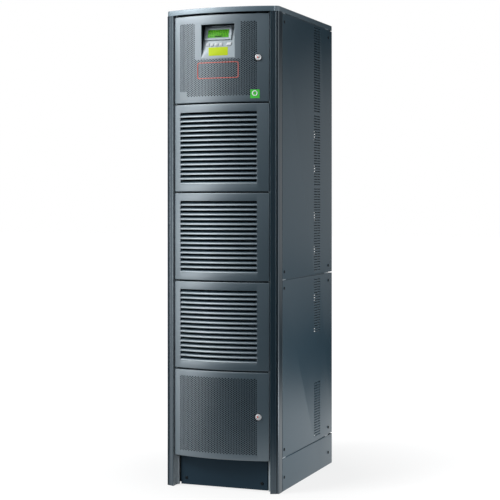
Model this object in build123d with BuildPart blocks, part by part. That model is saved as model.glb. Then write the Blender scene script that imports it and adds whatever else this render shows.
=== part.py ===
from build123d import *
import os
from math import asin, atan2, cos, degrees, radians, sin, sqrt, tan

# Modular UPS cabinet: a narrow steel tower with a bowed front.
# X points right seen from the front, Y points back and Z points up, in millimetres.
# The origin is on the floor, under the middle of the whole cabinet's box.

os.makedirs("parts", exist_ok=True)

# Overall size
overall_width = 414.0
overall_depth = 628.0
overall_height = 1650.0
front_bow_depth = 43.0

# Sheet metal
frame_sheet = 2.0
cover_sheet = 1.5
cut_overrun = 10.0

# Roof cap
cap_height = 18.0
cap_wall = 2.0
cap_corner_width = 12.0
cap_corner_depth = 10.0

# Front covers: a door, three louvred covers and a door, one height and one gap
cap_gap = 6.0
panel_count = 5
panel_gap = 5.0
panel_side_gap = 5.0
panel_inset = 6.0
panel_skin = 3.0
lower_door_rise = 109.0
louvre_tiers = ["top", "middle", "bottom"]

# Front posts
post_width = 28.0
post_inset = 1.0
post_depth = 30.0
post_face = 7.0
post_cove_width = 7.0
post_cove_depth = 1.4
post_ridge_width = 6.0
post_ridge_height = 0.8
post_groove_width = 3.0
post_groove_depth = 3.0
post_corner_run = 5.0

# Front uprights, behind the posts
upright_setback = 6.0
upright_strip = 13.0
upright_lip = 7.0
upright_side_return = 36.0
upright_foot_gap = 4.0

# Rear uprights and the recess between the side panels
rear_recess = 46.0
rear_upright_width = 40.0
rear_upright_depth = 38.0

# Side panels
side_seam = 4.0
side_seam_lift = 5.7
plinth_seam_lift = 4.5
side_top_gap = 2.5
side_front_gap = 2.0
side_rear_return = 14.0

# Base
base_top = 100.0
base_foot_gap = 8.0
kick_side_gap = 6.0
kick_overlap = 3.0
kick_foot_gap = 5.0
kick_return = 18.0
kick_setback = 12.0

# Shelves
shelf_lip = 12.0
shelf_setback = 3.0

# Louvres
louvre_left_margin = 23.0
louvre_right_margin = 40.0
louvre_bottom_margin = 24.5
louvre_top_margin = 27.4
louvre_count = 15
louvre_slot = 5.5
louvre_collar_depth = 13.0
louvre_collar_wall = 2.5
blade_lip = 4.0
blade_lip_setback = 1.2
blade_depth = 11.0
blade_thickness = 2.2
blade_facets = 8

# Power modules
module_columns = 3
module_gap = 2.0
module_depth = 380.0
module_headroom = 22.0
module_front_setback = 12.0
module_chamfer = 3.0

# Rear panels
fan_web = 18.0
fan_hole_sides = 24
fan_pitch_z = 128.0
rear_panel_gap = 2.0

# Bay cover plates behind the doors
bay_plate_setback = 40.0
bay_plate_gap = 2.0
bay_plate_return = 14.0

# Control door: window, display housing and display panel
window_left = 65.0
window_right = 57.0
window_height = 115.0
window_drop = 33.0
housing_wall = 2.5
housing_fit = 0.3
display_toe = 3.0
display_rise = 34.0
display_plate = 2.0
bezel_width = 102.0
bezel_height = 47.0
bezel_offset = 7.0
bezel_top_drop = 7.5
bezel_stand = 4.0
bezel_radius = 3.0
screen_width = 77.0
screen_height = 28.0
screen_depth = 1.5
key_width = 14.0
key_wide_width = 17.0
key_lean = 5.0
key_height = 15.5
key_stand = 2.0
key_pitch = 16.2
key_row_drop = 69.0
key_first_offset = 44.5
key_wide_offset = 34.5
key_count = 4

# Door locks
lock_edge_offset = 35.0
lock_drop = 150.0
lock_ring_radius = 10.5
lock_ring_stand = 2.0
lock_barrel_width = 14.0
lock_fit = 0.1
cam_length = 30.0
cam_width = 14.0
cam_thickness = 2.0
lock_barrel_length = 20.0

# Door hinges
hinge_inset = 9.0
hinge_depth = 4.3
hinge_lug_gap = 1.0
hinge_pin_radius = 2.0
hinge_pin_fit = 0.1
hinge_pin_length = 11.0
hinge_hole_margin = 1.0
hinge_lug_thickness = 3.0
hinge_lug_half_width = 6.0
hinge_boss = 16.0
door_clearance = 11.5

# Levels and planes worked out from the sizes above
half_width = overall_width / 2
rear_y = overall_depth / 2
front_y = -rear_y
side_front_y = front_y + front_bow_depth
cap_bottom = overall_height - cap_height
panel_top = cap_bottom - cap_gap
panel_pitch = (panel_top - lower_door_rise + panel_gap) / panel_count
panel_height = panel_pitch - panel_gap
post_half_gap = half_width - post_width
panel_half_width = post_half_gap - panel_side_gap

cap_bow_half = half_width - cap_corner_width
cap_bow_edge_y = side_front_y - cap_corner_depth
cap_bow_rise = cap_bow_edge_y - front_y
cap_bow_radius = (cap_bow_half**2 + cap_bow_rise**2) / (2 * cap_bow_rise)
bow_centre_y = front_y + cap_bow_radius
panel_bow_radius = cap_bow_radius - panel_inset
post_bow_radius = cap_bow_radius - post_inset

post_back_y = side_front_y + post_depth
upright_front_y = side_front_y + upright_setback
upright_back_y = post_back_y
door_back_y = upright_front_y - door_clearance
panel_back_y = upright_front_y
side_inner = half_width - cover_sheet
shelf_half = side_inner - frame_sheet
rear_panel_y = rear_y - rear_recess
bow_axis = Axis((0, bow_centre_y, 0), (0, 0, 1))
kick_front_y = side_front_y + kick_setback
base_half = post_half_gap - frame_sheet
base_front_y = kick_front_y + kick_return
base_back_y = rear_panel_y - frame_sheet
tongue_half = post_half_gap - upright_strip
kick_half = tongue_half - kick_side_gap
kick_top = lower_door_rise + kick_overlap
plinth_seam_height = lower_door_rise + plinth_seam_lift
side_top = cap_bottom - side_top_gap
shelf_front_y = upright_front_y + shelf_setback
shelf_shoulder_y = upright_back_y + frame_sheet
module_width = (2 * tongue_half - (module_columns + 1) * module_gap) / module_columns
module_pitch = module_width + module_gap
module_front_y = shelf_front_y + module_front_setback
fan_hole_radius = (module_pitch - fan_web) / 2
rear_panel_half = side_inner - rear_panel_gap / 2
bay_plate_half = tongue_half - bay_plate_gap
bay_plate_y = shelf_front_y + bay_plate_setback
louvre_left = panel_half_width - louvre_left_margin
louvre_right = panel_half_width - louvre_right_margin
louvre_pitch = (panel_height - louvre_bottom_margin - louvre_top_margin) / louvre_count
blade_height = louvre_pitch - louvre_slot
lock_offset = panel_half_width - lock_edge_offset
hinge_x = hinge_inset - panel_half_width

# Window and display, on the sloping face of the display panel
window_bottom = panel_top - window_drop - window_height
display_toe_y = front_y + panel_inset + display_toe
display_slope = degrees(atan2(display_rise, window_height))
display_plate_run = display_plate / cos(radians(display_slope))
display_back_y = display_toe_y + display_rise + display_plate_run
housing_bow_radius = panel_bow_radius - panel_skin
display_foot = housing_fit + display_plate * tan(radians(display_slope))
display_top = sqrt(window_height**2 + display_rise**2) - housing_fit
display_width = window_left + window_right - 2 * housing_fit
display_face = Plane(
    origin=((window_right - window_left) / 2, display_toe_y, window_bottom),
    x_dir=(1, 0, 0),
    z_dir=(0, -cos(radians(display_slope)), sin(radians(display_slope))),
)
bezel_middle = display_top - bezel_top_drop - bezel_height / 2
key_row_middle = (key_count - 1) * key_pitch / 2 - key_first_offset
key_row_y = display_top - key_row_drop
wide_key_left = key_wide_offset - (key_wide_width + key_lean) / 2


def bow_y(x, radius):
    """Depth of a vertical bowed face of this radius, x away from the middle."""
    return bow_centre_y - sqrt(radius**2 - x**2)


hinge_y = bow_y(hinge_x, panel_bow_radius) + hinge_depth


def panel_bottom(row):
    """Bottom edge of a front cover, counted down from the control door at 0."""
    return panel_top - panel_height - row * panel_pitch


def shelf_top(row):
    """Top face of the shelf behind the gap under a front cover."""
    return panel_bottom(row) - panel_gap / 2


def write(piece, name):
    piece.label = name
    export_step(piece, f"parts/{name}.step")


def mirrored(piece):
    return piece.mirror(Plane.YZ)


def write_pair(piece, name):
    """The right-hand piece as drawn, and its mirror image on the left."""
    write(piece, f"{name}_right")
    write(mirrored(piece), f"{name}_left")


# Roof cap: a bowed tray, open underneath
with BuildPart() as roof_cap:
    with BuildSketch(Plane.XY.offset(cap_bottom)) as cap_outline:
        with BuildLine():
            ThreePointArc((-cap_bow_half, cap_bow_edge_y), (0, front_y), (cap_bow_half, cap_bow_edge_y))
            Polyline(
                (cap_bow_half, cap_bow_edge_y),
                (half_width, side_front_y),
                (half_width, rear_y),
                (-half_width, rear_y),
                (-half_width, side_front_y),
                (-cap_bow_half, cap_bow_edge_y),
            )
        make_face()
    extrude(amount=cap_height)
    with BuildSketch(Plane.XY.offset(cap_bottom)):
        add(offset(cap_outline.sketch, amount=-cap_wall, kind=Kind.INTERSECTION, mode=Mode.PRIVATE))
    extrude(amount=cap_height - cap_wall, mode=Mode.SUBTRACT)
write(roof_cap.part, "roof_cap")


# Front post: a fluted hollow extrusion from the floor to the cap
post_cove_start = post_half_gap + post_face
post_ridge_start = post_cove_start + post_cove_width
post_groove_start = post_ridge_start + post_ridge_width
post_corner_start = post_groove_start + post_groove_width
post_cove_middle = (post_cove_start + post_ridge_start) / 2
post_ridge_middle = (post_ridge_start + post_groove_start) / 2


def post_point(x, inward=0.0):
    return (x, bow_y(x, post_bow_radius) + inward)


with BuildPart() as front_post:
    with BuildSketch() as post_outline:
        with BuildLine():
            Polyline(
                (half_width, side_front_y),
                (half_width, post_back_y),
                (post_half_gap, post_back_y),
                post_point(post_half_gap),
                post_point(post_cove_start),
            )
            ThreePointArc(
                post_point(post_cove_start),
                post_point(post_cove_middle, post_cove_depth),
                post_point(post_ridge_start),
            )
            ThreePointArc(
                post_point(post_ridge_start),
                post_point(post_ridge_middle, -post_ridge_height),
                post_point(post_groove_start),
            )
            Polyline(
                post_point(post_groove_start),
                post_point(post_groove_start, post_groove_depth),
                post_point(post_corner_start, post_groove_depth),
                post_point(post_corner_start),
            )
            RadiusArc(post_point(post_corner_start), (half_width, side_front_y), -post_corner_run * 2)
        make_face()
    extrude(amount=cap_bottom)
write_pair(front_post.part, "front_post")


# Front upright: a folded profile that carries the post, the covers and the shelves
with BuildPart() as front_upright:
    with BuildSketch(Plane.XY.offset(upright_foot_gap)):
        with BuildLine():
            Polyline(
                (post_half_gap - upright_strip, upright_front_y + upright_lip),
                (post_half_gap - upright_strip, upright_front_y),
                (post_half_gap, upright_front_y),
                (post_half_gap, upright_back_y),
                (side_inner, upright_back_y),
                (side_inner, upright_back_y + upright_side_return),
            )
            offset(amount=frame_sheet, side=Side.LEFT)
        make_face()
    extrude(amount=cap_bottom - upright_foot_gap)
write_pair(front_upright.part, "front_upright")


# Rear upright: an angle that carries the rear panels
with BuildPart() as rear_upright:
    with BuildSketch():
        with BuildLine():
            Polyline(
                (side_inner, rear_panel_y - rear_upright_depth),
                (side_inner, rear_panel_y),
                (side_inner - rear_upright_width, rear_panel_y),
            )
            offset(amount=frame_sheet, side=Side.LEFT)
        make_face()
    extrude(amount=cap_bottom)
write_pair(rear_upright.part, "rear_upright")


# Side panels and plinth sides: sheets with a return along the rear edge
def side_sheet(bottom, top):
    with BuildPart() as sheet:
        with BuildSketch(Plane.XY.offset(bottom)):
            with BuildLine():
                Polyline(
                    (half_width, post_back_y + side_front_gap),
                    (half_width, rear_y),
                    (half_width - side_rear_return, rear_y),
                )
                offset(amount=cover_sheet, side=Side.LEFT)
            make_face()
        extrude(amount=top - bottom)
    return sheet.part


side_seam_height = shelf_top(2) + side_seam_lift
write_pair(side_sheet(side_seam_height + side_seam / 2, side_top), "side_panel_upper")
lower_panel_top = side_seam_height - side_seam / 2
write_pair(side_sheet(plinth_seam_height + side_seam / 2, lower_panel_top), "side_panel_lower")
write_pair(side_sheet(0, plinth_seam_height - side_seam / 2), "plinth_side")


# Kick plate: a folded sheet between the uprights, off the floor
with BuildPart() as kick_plate:
    with BuildSketch(Plane.XY.offset(kick_foot_gap)):
        with BuildLine():
            Polyline(
                (-kick_half, kick_front_y + kick_return),
                (-kick_half, kick_front_y),
                (kick_half, kick_front_y),
                (kick_half, kick_front_y + kick_return),
            )
            offset(amount=cover_sheet, side=Side.LEFT)
        make_face()
    extrude(amount=kick_top - kick_foot_gap)
write(kick_plate.part, "kick_plate")


# Base frame: a floor sheet on four rails
with BuildPart() as base_frame:
    with BuildSketch(Plane.XY.offset(base_foot_gap)) as base_outline:
        with BuildLine():
            Polyline(
                (-base_half, base_front_y),
                (base_half, base_front_y),
                (base_half, base_back_y),
                (-base_half, base_back_y),
                close=True,
            )
        make_face()
    extrude(amount=base_top - base_foot_gap)
    with BuildSketch(Plane.XY.offset(base_foot_gap)):
        add(offset(base_outline.sketch, amount=-frame_sheet, kind=Kind.INTERSECTION, mode=Mode.PRIVATE))
    extrude(amount=base_top - base_foot_gap - frame_sheet, mode=Mode.SUBTRACT)
write(base_frame.part, "base_frame")


# Shelves and the top plate: sheets with a tongue and a lip between the front uprights
def shelf(top):
    with BuildPart() as sheet:
        with BuildSketch(Plane.XY.offset(top - frame_sheet)):
            with BuildLine():
                Polyline(
                    (shelf_half, shelf_shoulder_y),
                    (shelf_half, base_back_y),
                    (-shelf_half, base_back_y),
                    (-shelf_half, shelf_shoulder_y),
                    (-tongue_half, shelf_shoulder_y),
                    (-tongue_half, shelf_front_y),
                    (tongue_half, shelf_front_y),
                    (tongue_half, shelf_shoulder_y),
                    close=True,
                )
            make_face()
        extrude(amount=frame_sheet)
        with BuildSketch(Plane.XY.offset(top - shelf_lip)):
            with BuildLine():
                Polyline(
                    (-tongue_half, shelf_front_y),
                    (tongue_half, shelf_front_y),
                    (tongue_half, shelf_front_y + frame_sheet),
                    (-tongue_half, shelf_front_y + frame_sheet),
                    close=True,
                )
            make_face()
        extrude(amount=shelf_lip)
    return sheet.part


write(shelf(cap_bottom), "top_plate")
write(shelf(shelf_top(0)), "control_shelf")
for row, tier in enumerate(louvre_tiers, start=1):
    write(shelf(shelf_top(row)), f"module_shelf_{tier}")


# Power modules: three closed housings side by side on each module shelf
def module_tier(row):
    with BuildPart() as tier:
        with BuildSketch(Plane.XY.offset(shelf_top(row))):
            with Locations((0, module_front_y + module_depth / 2)):
                with GridLocations(module_pitch, 0, module_columns, 1):
                    Rectangle(module_width, module_depth)
        extrude(amount=panel_pitch - module_headroom)
        chamfer(tier.faces().group_by(Axis.Y)[0].edges(), length=module_chamfer)
    return tier.part


for row, tier_name in enumerate(louvre_tiers, start=1):
    write(module_tier(row), f"power_modules_{tier_name}")


# Rear panels: flat sheets, with fan holes behind the modules
def rear_panel(bottom, height, fan_rows=0):
    with BuildPart() as sheet:
        with BuildSketch(Plane.XZ.offset(-rear_panel_y - cover_sheet)):
            with Locations((0, bottom + height / 2)):
                Rectangle(2 * rear_panel_half, height)
                if fan_rows:
                    with GridLocations(module_pitch, fan_pitch_z, module_columns, fan_rows):
                        RegularPolygon(fan_hole_radius, fan_hole_sides, mode=Mode.SUBTRACT)
        extrude(amount=cover_sheet)
    return sheet.part


rear_panel_height = panel_pitch - rear_panel_gap
write(rear_panel(shelf_top(0) + rear_panel_gap / 2, rear_panel_height), "rear_cover_control")
for row, tier_name in enumerate(louvre_tiers, start=1):
    panel = rear_panel(shelf_top(row) + rear_panel_gap / 2, rear_panel_height, fan_rows=2)
    write(panel, f"rear_fan_panel_{tier_name}")
write(rear_panel(shelf_top(4) + rear_panel_gap / 2, rear_panel_height), "rear_cover_lower")
write(rear_panel(0, shelf_top(4) - rear_panel_gap / 2), "plinth_rear")


# Cover plates of the two bays behind the doors
def bay_plate(bottom, top):
    with BuildPart() as plate:
        with BuildSketch(Plane.XY.offset(bottom)):
            with BuildLine():
                Polyline(
                    (-bay_plate_half, bay_plate_y + bay_plate_return),
                    (-bay_plate_half, bay_plate_y),
                    (bay_plate_half, bay_plate_y),
                    (bay_plate_half, bay_plate_y + bay_plate_return),
                )
                offset(amount=cover_sheet, side=Side.LEFT)
            make_face()
        extrude(amount=top - bottom)
    return plate.part


write(bay_plate(shelf_top(0), cap_bottom - frame_sheet), "control_bay_plate")
write(bay_plate(base_top, shelf_top(3) - frame_sheet), "lower_bay_plate")


# Bowed front covers
def bowed_outline(half, radius, back):
    """Plan of a bowed cover: its front arc and its flat back."""
    edge = bow_y(half, radius)
    with BuildSketch() as outline:
        with BuildLine():
            ThreePointArc((-half, edge), (0, bow_y(0, radius)), (half, edge))
            Polyline((half, edge), (half, back), (-half, back), (-half, edge))
        make_face()
    return outline.sketch


def bowed_shell(bottom, back):
    """A bowed cover with a rim round its open back."""
    outside = bowed_outline(panel_half_width, panel_bow_radius, back)
    inside = bowed_outline(panel_half_width - panel_skin, panel_bow_radius - panel_skin, back)
    with BuildPart() as shell:
        with BuildSketch(Plane.XY.offset(bottom)):
            add(outside)
        extrude(amount=panel_height)
        with BuildSketch(Plane.XY.offset(bottom + panel_skin)):
            add(inside)
        extrude(amount=panel_height - 2 * panel_skin, mode=Mode.SUBTRACT)
    return shell.part


def bow_angle(x):
    """Angle round the bow's axis from the middle to x on the cover's face."""
    return degrees(asin(x / panel_bow_radius))


def bow_plane(angle):
    """Upright plane through the bow's axis at this angle from the middle: its own x runs outward."""
    sine = sin(radians(angle))
    cosine = cos(radians(angle))
    return Plane(origin=(0, bow_centre_y, 0), x_dir=(sine, -cosine, 0), z_dir=(-cosine, -sine, 0))


# Louvred covers: the blades stand in a moulded collar behind the cover's face
def field_ring(bottom, inner, outer, margin):
    """Sector round the bow's axis over the louvre field and a margin."""
    left = bow_angle(-louvre_left - margin)
    right = bow_angle(louvre_right + margin)
    with BuildPart() as ring:
        with BuildSketch(bow_plane(left)):
            with BuildLine():
                Polyline(
                    (inner, bottom - margin),
                    (outer, bottom - margin),
                    (outer, bottom + louvre_count * louvre_pitch + margin),
                    (inner, bottom + louvre_count * louvre_pitch + margin),
                    close=True,
                )
            make_face()
        revolve(axis=bow_axis, revolution_arc=right - left)
    return ring.part


def louvre_cover(row):
    field_bottom = panel_bottom(row) + louvre_bottom_margin
    collar_inner = panel_bow_radius - louvre_collar_depth
    shell = bowed_shell(panel_bottom(row), panel_back_y)
    collar = field_ring(field_bottom, collar_inner, panel_bow_radius - panel_skin / 2, louvre_collar_wall)
    field = field_ring(field_bottom, collar_inner - cut_overrun, panel_bow_radius + cut_overrun, 0)
    with BuildPart() as cover:
        add(shell)
        add(collar)
        add(field, mode=Mode.SUBTRACT)
    return cover.part


# One blade, faceted round the bow: its face runs in and up behind a lip at its foot
blade_left = bow_angle(-louvre_left)
blade_step = (bow_angle(louvre_right) - blade_left) / blade_facets
with BuildPart() as louvre_blade:
    for facet in range(blade_facets + 1):
        with BuildSketch(bow_plane(blade_left + facet * blade_step)):
            with BuildLine():
                Polyline(
                    (panel_bow_radius, 0),
                    (panel_bow_radius - blade_lip_setback, blade_lip),
                    (panel_bow_radius - blade_depth, blade_height),
                    (panel_bow_radius - blade_depth, blade_height - blade_thickness),
                    (panel_bow_radius - blade_lip_setback - blade_thickness, blade_lip - blade_lip_setback),
                    (panel_bow_radius - blade_thickness, 0),
                    close=True,
                )
            make_face()
    loft(ruled=True)


def louvre_blades(row):
    field_bottom = panel_bottom(row) + louvre_bottom_margin
    with BuildPart() as blades:
        with Locations([(0, 0, field_bottom + index * louvre_pitch) for index in range(louvre_count)]):
            add(louvre_blade.part)
    return blades.part


for row, tier_name in enumerate(louvre_tiers, start=1):
    write(louvre_cover(row), f"louvre_cover_{tier_name}")
    write(louvre_blades(row), f"louvre_blades_{tier_name}")


# Doors: bowed shells with hinge bosses on the left and a lock hole on the right
def lock_plane(bottom):
    """Plane on the door's face at its lock, facing outward."""
    sine = lock_offset / panel_bow_radius
    cosine = sqrt(1 - sine**2)
    face = (lock_offset, bow_y(lock_offset, panel_bow_radius), bottom + panel_height - lock_drop)
    return Plane(origin=face, x_dir=(cosine, sine, 0), z_dir=(sine, -cosine, 0))


def door_shell(bottom):
    """A door with its hinge bosses, pin holes and lock hole."""
    shell = bowed_shell(bottom, door_back_y)
    outline = bowed_outline(panel_half_width, panel_bow_radius, door_back_y)
    hole_depth = hinge_pin_length + hinge_hole_margin
    with BuildPart() as door:
        add(shell)
        for boss_bottom in (bottom, bottom + panel_height - hinge_boss):
            with BuildSketch(Plane.XY.offset(boss_bottom)):
                add(outline)
                with BuildLine():
                    Polyline(
                        (hinge_boss - panel_half_width, front_y),
                        (panel_half_width, front_y),
                        (panel_half_width, door_back_y),
                        (hinge_boss - panel_half_width, door_back_y),
                        close=True,
                    )
                make_face(mode=Mode.SUBTRACT)
            extrude(amount=hinge_boss)
        for hole_bottom in (bottom, bottom + panel_height - hole_depth):
            with BuildSketch(Plane.XY.offset(hole_bottom)):
                with Locations((hinge_x, hinge_y)):
                    Circle(hinge_pin_radius + hinge_pin_fit)
            extrude(amount=hole_depth, mode=Mode.SUBTRACT)
        with BuildSketch(lock_plane(bottom)):
            Rectangle(lock_barrel_width + 2 * lock_fit, lock_barrel_width + 2 * lock_fit)
        extrude(amount=cut_overrun, both=True, mode=Mode.SUBTRACT)
    return door.part


control_shell = door_shell(panel_bottom(0))
with BuildPart() as control_door:
    add(control_shell)
    with BuildSketch(Plane.XZ.offset(-front_y)):
        with Locations(((window_right - window_left) / 2, window_bottom + window_height / 2)):
            Rectangle(window_left + window_right, window_height)
    extrude(amount=-cap_bow_rise, mode=Mode.SUBTRACT)
write(control_door.part, "control_door")

write(door_shell(panel_bottom(4)), "lower_door")


# Door locks: a round head on the face, a square barrel through the skin and a cam behind it
def door_lock(bottom):
    with BuildPart() as lock:
        with BuildSketch(lock_plane(bottom)):
            Circle(lock_ring_radius)
        extrude(amount=lock_ring_stand)
        with BuildSketch(lock_plane(bottom)):
            Rectangle(lock_barrel_width, lock_barrel_width)
        extrude(amount=-lock_barrel_length)
        with BuildSketch(lock_plane(bottom).offset(-lock_barrel_length)):
            with Locations((0, cam_width / 2 - cam_length / 2)):
                Rectangle(cam_width, cam_length)
        extrude(amount=-cam_thickness)
    return lock.part


write(door_lock(panel_bottom(0)), "control_door_lock")
write(door_lock(panel_bottom(4)), "lower_door_lock")


# Door hinges: lugs on the left upright, below and above the door, with pins into its bosses
def door_hinges(bottom):
    pin_reach = hinge_pin_length + hinge_lug_gap
    lower_lug = bottom - hinge_lug_gap - hinge_lug_thickness
    upper_lug = bottom + panel_height + hinge_lug_gap
    with BuildPart() as hinges:
        with BuildSketch(Plane.XY.offset(lower_lug), Plane.XY.offset(upper_lug)):
            with Locations((hinge_x, hinge_y)):
                Circle(hinge_lug_half_width)
            with BuildLine():
                Polyline(
                    (hinge_x - hinge_lug_half_width, hinge_y),
                    (hinge_x + hinge_lug_half_width, hinge_y),
                    (hinge_x + hinge_lug_half_width, upright_front_y),
                    (hinge_x - hinge_lug_half_width, upright_front_y),
                    close=True,
                )
            make_face()
        extrude(amount=hinge_lug_thickness)
        lower_pin = lower_lug + hinge_lug_thickness
        with BuildSketch(Plane.XY.offset(lower_pin), Plane.XY.offset(upper_lug - pin_reach)):
            with Locations((hinge_x, hinge_y)):
                Circle(hinge_pin_radius)
        extrude(amount=pin_reach)
    return hinges.part


write(door_hinges(panel_bottom(0)), "control_door_hinges")
write(door_hinges(panel_bottom(4)), "lower_door_hinges")


# Display housing: a moulded tub behind the window with a sloping back
with BuildPart() as display_housing:
    with BuildSketch(Plane.XY.offset(window_bottom - housing_wall)):
        with BuildLine():
            ThreePointArc(
                (-window_left - housing_wall, bow_y(window_left + housing_wall, housing_bow_radius)),
                (0, bow_centre_y - housing_bow_radius),
                (window_right + housing_wall, bow_y(window_right + housing_wall, housing_bow_radius)),
            )
            Polyline(
                (window_right + housing_wall, bow_y(window_right + housing_wall, housing_bow_radius)),
                (window_right + housing_wall, display_back_y + housing_wall),
                (-window_left - housing_wall, display_back_y + housing_wall),
                (-window_left - housing_wall, bow_y(window_left + housing_wall, housing_bow_radius)),
            )
        make_face()
    extrude(amount=window_height + 2 * housing_wall)
    with BuildSketch(Plane.YZ.offset(-window_left)):
        with BuildLine():
            Polyline(
                (front_y, window_bottom),
                (display_toe_y + display_plate_run, window_bottom),
                (display_back_y, window_bottom + window_height),
                (front_y, window_bottom + window_height),
                close=True,
            )
        make_face()
    extrude(amount=window_left + window_right, mode=Mode.SUBTRACT)
    with BuildSketch(Plane.YZ.offset(-window_left - housing_wall)):
        with BuildLine():
            Polyline(
                (display_toe_y + display_plate_run + housing_wall, window_bottom - housing_wall),
                (display_back_y + housing_wall, window_bottom + window_height - housing_wall),
                (display_back_y + housing_wall, window_bottom - housing_wall),
                close=True,
            )
        make_face()
    extrude(amount=window_left + window_right + 2 * housing_wall, mode=Mode.SUBTRACT)
write(display_housing.part, "display_housing")


# Display panel: a sloping plate with the screen's bezel
with BuildPart() as display_panel:
    with BuildSketch(display_face):
        with Locations((0, (display_foot + display_top) / 2)):
            Rectangle(display_width, display_top - display_foot)
    extrude(amount=-display_plate)
    with BuildSketch(display_face):
        with Locations((-bezel_offset, bezel_middle)):
            RectangleRounded(bezel_width, bezel_height, bezel_radius)
            Rectangle(screen_width, screen_height, mode=Mode.SUBTRACT)
    extrude(amount=bezel_stand)
write(display_panel.part, "display_panel")

with BuildPart() as display_screen:
    with BuildSketch(display_face):
        with Locations((-bezel_offset, bezel_middle)):
            Rectangle(screen_width, screen_height)
    extrude(amount=bezel_stand - screen_depth)
write(display_screen.part, "display_screen")

with BuildPart() as display_keys:
    with BuildSketch(display_face):
        with Locations((key_row_middle, key_row_y)):
            with GridLocations(key_pitch, 0, key_count, 1):
                Rectangle(key_width, key_height)
        with BuildLine():
            Polyline(
                (wide_key_left, key_row_y - key_height / 2),
                (wide_key_left + key_wide_width, key_row_y - key_height / 2),
                (wide_key_left + key_wide_width + key_lean, key_row_y + key_height / 2),
                (wide_key_left + key_lean, key_row_y + key_height / 2),
                close=True,
            )
        make_face()
    extrude(amount=key_stand)
write(display_keys.part, "display_keys")
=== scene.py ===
import bisect
import math

import bmesh
import bpy
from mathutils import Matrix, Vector


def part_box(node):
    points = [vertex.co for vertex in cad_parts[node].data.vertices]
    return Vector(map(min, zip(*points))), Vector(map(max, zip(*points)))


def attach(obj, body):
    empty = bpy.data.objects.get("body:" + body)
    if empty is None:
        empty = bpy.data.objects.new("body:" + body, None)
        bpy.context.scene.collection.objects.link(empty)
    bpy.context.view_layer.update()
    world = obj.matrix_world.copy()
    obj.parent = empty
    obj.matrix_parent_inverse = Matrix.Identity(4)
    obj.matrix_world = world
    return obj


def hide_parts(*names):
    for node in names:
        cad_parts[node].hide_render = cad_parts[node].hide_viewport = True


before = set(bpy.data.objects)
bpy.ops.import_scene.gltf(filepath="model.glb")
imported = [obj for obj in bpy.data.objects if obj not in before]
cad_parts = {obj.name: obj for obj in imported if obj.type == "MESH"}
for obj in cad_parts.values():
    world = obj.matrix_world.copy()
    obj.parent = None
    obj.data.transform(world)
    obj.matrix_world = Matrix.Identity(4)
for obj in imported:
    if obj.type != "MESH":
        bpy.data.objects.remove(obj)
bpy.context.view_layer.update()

# Modular UPS cabinet, in metres: X right seen from the front, Y back, Z up.

MM = 0.001

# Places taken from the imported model
cap_low, cap_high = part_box("roof_cap")
door_low, door_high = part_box("control_door")
lower_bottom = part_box("lower_door")[0].z
post_low, post_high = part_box("front_post_right")
half_width = cap_high.x
rear_y = cap_high.y
panel_half = door_high.x
panel_height = door_high.z - door_low.z
door_back_y = door_high.y
cap_bottom = cap_low.z

# The bow of the front
front_y = -rear_y
cap_corner_width = 12 * MM
cap_bow_rise = 33 * MM
cap_corner_depth = 10 * MM
panel_inset = 6 * MM
post_inset = 1 * MM
cap_bow_half = half_width - cap_corner_width
cap_bow_radius = (cap_bow_half**2 + cap_bow_rise**2) / (2 * cap_bow_rise)
bow_centre_y = front_y + cap_bow_radius
panel_bow_radius = cap_bow_radius - panel_inset
post_bow_radius = cap_bow_radius - post_inset
side_front_y = front_y + cap_bow_rise + cap_corner_depth


def bow_y(radius, x):
    return bow_centre_y - math.sqrt(radius**2 - x**2)


# Materials
def node(tree, kind, **inputs):
    """A shader node; each input is a value or another node's output, and a name ending in _ is a property."""
    made = tree.nodes.new(kind)
    for name, value in inputs.items():
        if name.endswith("_"):
            setattr(made, name[:-1], value)
            continue
        socket = made.inputs[name.replace("_", " ")]
        if isinstance(value, bpy.types.NodeSocket):
            tree.links.new(value, socket)
        else:
            socket.default_value = value
    return made


def coordinates(tree):
    return node(tree, "ShaderNodeTexCoord").outputs["Object"]


def noise_value(tree, scale):
    texture = node(tree, "ShaderNodeTexNoise", Vector=coordinates(tree), Scale=scale, Detail=3.0)
    return texture.outputs["Fac"]


materials = {}
white = (1.0, 1.0, 1.0)
drift_length = 0.2
drift_share = 0.06
gloss_drift = 0.05
paint_grain = 1.4 * MM
grain_depth = 0.15 * MM


def paint(name, colour, roughness=0.42, metallic=0.0, ior=1.5, tint=white, specular=0.5, grain_share=0.12):
    """Satin paint or moulding: fine grain in the surface, slow drift in its colour and gloss."""
    material = materials[name] = bpy.data.materials.new(name)
    material.use_nodes = True
    tree = material.node_tree
    shader = tree.nodes["Principled BSDF"]
    shine = {"Metallic": metallic, "IOR": ior, "Specular IOR Level": specular, "Specular Tint": tint + (1.0,)}
    for title, value in shine.items():
        shader.inputs[title].default_value = value
    drift = noise_value(tree, 1 / drift_length)
    blend = node(tree, "ShaderNodeMix", data_type_="RGBA")
    factor, dark, light = blend.inputs[0], blend.inputs[6], blend.inputs[7]
    dark.default_value = tuple(part * (1 - drift_share) for part in colour) + (1.0,)
    light.default_value = tuple(part * (1 + drift_share) for part in colour) + (1.0,)
    tree.links.new(drift, factor)
    tree.links.new(blend.outputs[2], shader.inputs["Base Color"])
    speckle = noise_value(tree, 1 / paint_grain)
    low, high = roughness - gloss_drift, roughness + gloss_drift
    gloss = node(tree, "ShaderNodeMapRange", Value=speckle, To_Min=low, To_Max=high)
    tree.links.new(gloss.outputs["Result"], shader.inputs["Roughness"])
    bump = node(tree, "ShaderNodeBump", Height=speckle, Strength=grain_share, Distance=grain_depth)
    tree.links.new(bump.outputs["Normal"], shader.inputs["Normal"])


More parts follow.
